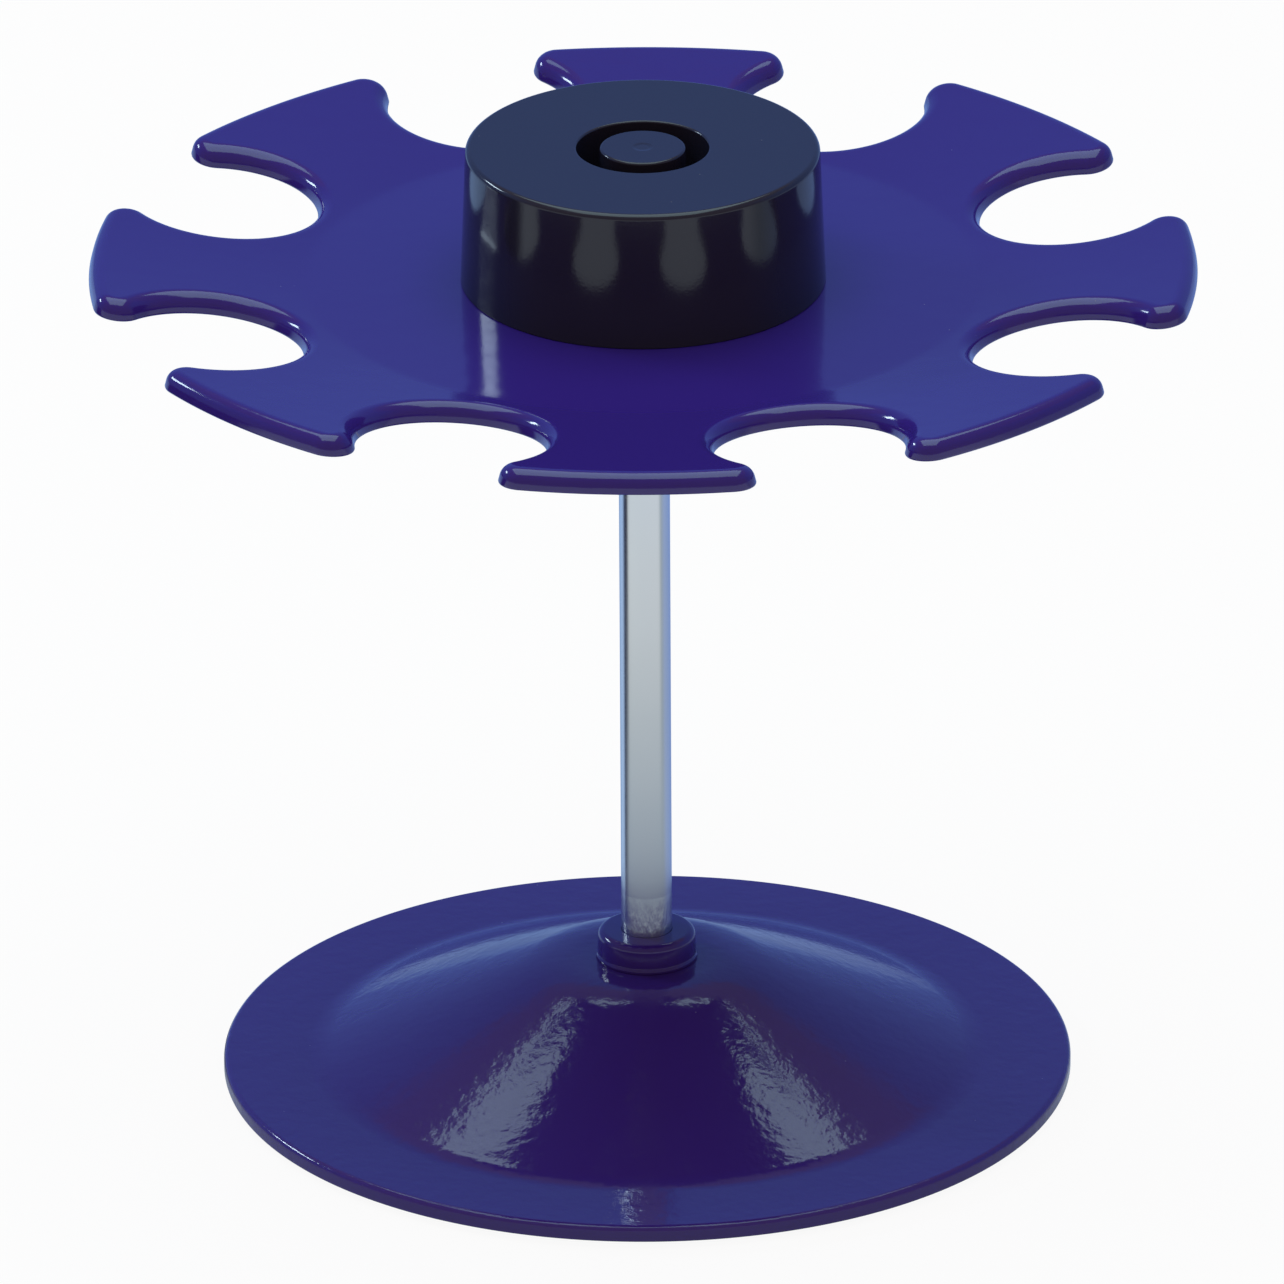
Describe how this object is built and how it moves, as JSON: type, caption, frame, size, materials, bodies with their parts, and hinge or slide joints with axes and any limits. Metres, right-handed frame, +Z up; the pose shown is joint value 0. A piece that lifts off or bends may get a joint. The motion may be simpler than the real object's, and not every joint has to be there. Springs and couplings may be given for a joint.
{
  "type": "desk stamp carousel",
  "caption": "Desktop carousel that hangs rubber stamps by their handles from open slots round a turning star-shaped plate on a post with a broad round foot.",
  "frame": {"origin": "centre of the plane that the foot pads rest on, below the post", "axes": "+Z up along the post's axis, +X to the right and -Y towards the viewer of the picture, with arms of the star plate along X and Y"},
  "size_m": [0.1298, 0.1298, 0.1187],
  "materials": {
    "blue_enamel": "glossy cobalt blue enamel on pressed steel, slightly rippled",
    "plated_post": "drawn steel rod with bright nickel plating",
    "black_plastic": "moulded black plastic, fairly glossy",
    "bush_plastic": "dark self-lubricating moulded plastic",
    "washer_plastic": "natural nylon, smooth",
    "spring_steel": "dark phosphated spring steel",
    "zinc_plated": "bright zinc plating",
    "foot_pad": "pressed felt, black"
  },
  "bodies": {
    "stand": {"base_dish": "blue_enamel", "post": "plated_post", "base_collar": "blue_enamel", "base_washer": "zinc_plated", "base_lock_washer": "spring_steel", "base_nut": "zinc_plated", "foot_pad_1": "foot_pad", "foot_pad_2": "foot_pad", "foot_pad_3": "foot_pad", "foot_pad_4": "foot_pad", "thrust_washer": "washer_plastic", "lower_clip": "spring_steel", "upper_washer": "washer_plastic", "upper_clip": "spring_steel", "axle_cap": "black_plastic"},
    "rotor": {"star_plate": "blue_enamel", "hub_cap": "black_plastic", "bearing_bush": "bush_plastic", "hub_screw_1": "zinc_plated", "hub_screw_2": "zinc_plated", "hub_screw_3": "zinc_plated"}
  },
  "joints": [
    {"name": "rotor_spin", "type": "hinge", "parent": "stand", "child": "rotor", "pos_m": [0, 0, 0.1021], "axis": [0, 0, 1], "continuous": true}
  ]
}
